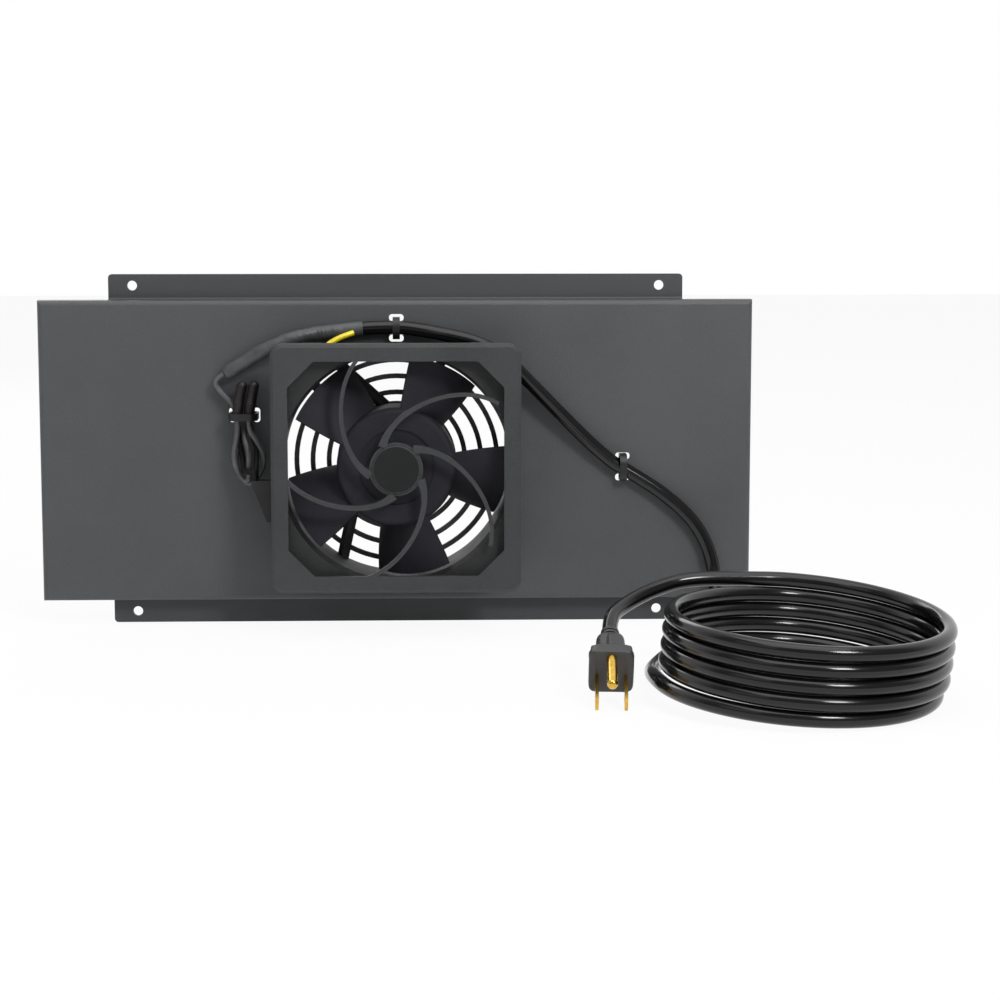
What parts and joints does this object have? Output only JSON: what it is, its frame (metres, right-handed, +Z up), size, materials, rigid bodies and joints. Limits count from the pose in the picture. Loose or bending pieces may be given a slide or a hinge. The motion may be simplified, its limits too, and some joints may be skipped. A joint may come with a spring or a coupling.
{
  "type": "rack fan tray",
  "caption": "Folded steel panel with a stamped finger guard, a 120 mm axial fan behind a spiral clip-on guard, and a tied mains lead with coil and plug.",
  "frame": {"origin": "centre of the four mounting holes, on the rear face of the flanges", "axes": "+X along the panel to the right seen from the fan side, +Y towards the surface that the flanges bolt to, +Z up"},
  "size_m": [0.4302, 0.2773, 0.181],
  "materials": {
    "panel": "charcoal powder coat, fine texture, satin",
    "housing": "die-cast aluminium, black coat",
    "screw": "black zinc plated steel",
    "impeller": "glossy black moulded plastic",
    "rotor_steel": "machined steel with cast end rings",
    "shaft_steel": "ground steel",
    "clip_steel": "spring steel",
    "bearing_steel": "polished bearing steel",
    "lamination": "stacked silicon steel",
    "winding": "enamelled copper wire",
    "terminal": "tin plated brass",
    "guard": "fine textured charcoal plastic",
    "tie": "black nylon",
    "sleeve": "black shrink sleeve",
    "cap": "dark brown-black nylon",
    "wire_black": "black PVC insulation",
    "wire_white": "black PVC insulation with a pale stripe",
    "connector": "black nylon",
    "ground_brass": "zinc plated, yellow passivate",
    "wire_ground": "yellow PVC insulation with a green stripe",
    "cord": "smooth glossy black PVC jacket",
    "plug": "black moulded PVC",
    "prong": "bright brass"
  },
  "bodies": {
    "tray": {"tray_panel": "panel", "fan_housing": "housing", "fan_screws": "screw", "front_bearing": "bearing_steel", "rear_bearing": "bearing_steel", "stator_core": "lamination", "stator_windings": "winding", "fan_terminals": "terminal", "fan_guard": "guard", "cable_tie_top": "tie", "cable_tie_right": "tie", "cable_tie_left": "tie", "wire_sleeve": "sleeve", "splice_caps": "cap", "supply_wire_line": "wire_black", "supply_wire_neutral": "wire_white", "fan_lead_line": "wire_black", "fan_lead_neutral": "wire_black", "fan_connector": "connector", "ground_terminal": "terminal", "ground_screw": "ground_brass", "ground_wire": "wire_ground", "power_cord_coil": "cord", "power_cord_lead": "cord", "power_cord_tail": "cord", "strain_relief": "plug", "plug_body": "plug", "plug_blades": "prong", "plug_ground_pin": "prong"},
    "impeller": {"impeller": "impeller", "rotor_ring": "rotor_steel", "rotor_shaft": "shaft_steel", "shaft_clip": "clip_steel"}
  },
  "joints": [
    {"name": "impeller_spin", "type": "hinge", "parent": "tray", "child": "impeller", "pos_m": [0, -0.03, -0.0045], "axis": [0, 1, 0], "continuous": true}
  ]
}
